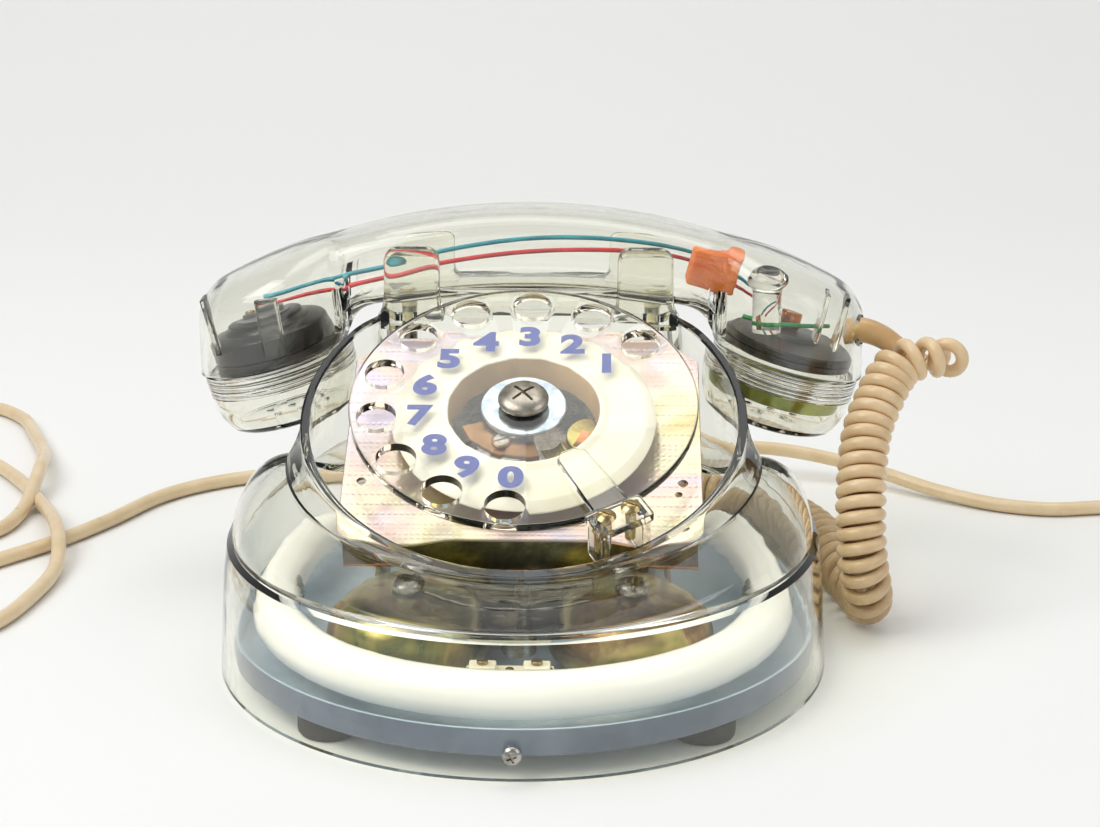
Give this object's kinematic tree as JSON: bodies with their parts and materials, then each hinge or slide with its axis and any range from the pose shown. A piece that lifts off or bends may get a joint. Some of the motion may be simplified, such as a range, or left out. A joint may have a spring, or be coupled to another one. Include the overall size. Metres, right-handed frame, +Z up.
{
  "type": "clear rotary telephone",
  "caption": "Rotary desk telephone with a clear moulded case and handset over its visible works, a ring lamp round the base, a curly handset cord and plug-in leads.",
  "frame": {"origin": "centre of the telephone's footprint, on the table under its feet", "axes": "+Z up, +Y from the dial towards the handset, +X to the right of someone dialling"},
  "size_m": [0.6245, 0.3505, 0.1287],
  "materials": {
    "clear_acrylic": "clear, polished, with a faint yellow-grey tint in the edges",
    "blue_grey_pan": "satin blue-grey",
    "black_rubber": "matt, moulded",
    "bright_steel": "nickel plated, satin",
    "lamp_glass": "frosted white",
    "cream_plastic": "smooth, softly glossy",
    "yellow_zinc": "yellow passivated zinc, iridescent, finely dimpled",
    "gong_brass": "dull yellow metal",
    "copper": "copper, lightly tarnished",
    "board": "brown laminate",
    "black_plastic": "satin black",
    "orange_foam": "open cell foam",
    "beige_vinyl": "glossy soft vinyl, browner where it lies on the table"
  },
  "bodies": {
    "body": {"housing_shell": "clear_acrylic", "finger_stop": "clear_acrylic", "base_pan": "blue_grey_pan", "rubber_foot_1": "black_rubber", "rubber_foot_2": "black_rubber", "rubber_foot_3": "black_rubber", "rubber_foot_4": "black_rubber", "case_screw_front": "bright_steel", "case_screw_rear": "bright_steel", "stop_screw_a": "bright_steel", "stop_screw_b": "bright_steel", "gong_bolt_left": "bright_steel", "gong_bolt_right": "bright_steel", "ringer_frame": "bright_steel", "dial_case": "bright_steel", "lamp_transformer": "bright_steel", "lamp_tube": "lamp_glass", "lamp_socket": "cream_plastic", "number_dish": "cream_plastic", "terminal_block": "cream_plastic", "capacitor": "cream_plastic", "hook_switch": "cream_plastic", "chassis_plate": "yellow_zinc", "chassis_leg_left": "yellow_zinc", "chassis_leg_right": "yellow_zinc", "gong_left": "gong_brass", "gong_right": "gong_brass", "contact_clip": "gong_brass", "contact_spring": "copper", "ringer_coil_left": "copper", "ringer_coil_right": "copper", "induction_coil": "copper", "circuit_board": "board", "curly_cord": "beige_vinyl", "curl_grommet": "beige_vinyl", "line_grommet": "beige_vinyl", "mains_grommet": "beige_vinyl", "line_cord": "beige_vinyl", "line_coil": "beige_vinyl", "line_plug": "beige_vinyl", "mains_cord": "beige_vinyl", "mains_coil": "beige_vinyl", "mains_plug": "beige_vinyl"},
    "dial": {"finger_wheel": "clear_acrylic", "wheel_screw": "bright_steel", "hub_plate": "bright_steel", "dial_spindle": "bright_steel", "pulse_cam": "gong_brass"},
    "governor": {"governor": "gong_brass"},
    "clapper": {"clapper": "bright_steel"},
    "hook": {"hook_bar": "bright_steel"},
    "handset": {"handset_shell": "clear_acrylic", "ear_cap": "clear_acrylic", "receiver_capsule": "black_plastic", "mouth_cap": "clear_acrylic", "microphone_capsule": "black_plastic", "contact_ring": "gong_brass", "contact_post": "copper", "foam_block": "orange_foam", "handset_guard": "beige_vinyl"}
  },
  "joints": [
    {"name": "handset_lift", "type": "slide", "parent": "body", "child": "handset", "axis": [0, 0, 1], "range_m": [0, 0.08]},
    {"name": "hook_rise", "type": "slide", "parent": "body", "child": "hook", "axis": [0, 0, 1], "range_m": [0, 0.004]},
    {"name": "dial_turn", "type": "hinge", "parent": "body", "child": "dial", "pos_m": [0, -0.0009, 0.0818], "axis": [0, -0.4258, 0.9048], "range_deg": [-311, 0], "stiffness_Nm_per_rad": 0.02},
    {"name": "governor_spin", "type": "hinge", "parent": "body", "child": "governor", "pos_m": [0.0206, -0.0009, 0.0818], "axis": [0, -0.4258, 0.9048], "range_deg": [0, 1060]},
    {"name": "clapper_swing", "type": "hinge", "parent": "body", "child": "clapper", "pos_m": [0, -0.0135, 0.02], "axis": [0, 0, 1], "range_deg": [-7, 7], "stiffness_Nm_per_rad": 0.003}
  ],
  "couplings": [
    {"joint": "hook_rise", "follows": "handset_lift", "ratio": 0.05},
    {"joint": "governor_spin", "follows": "dial_turn", "ratio": -3.3913}
  ]
}
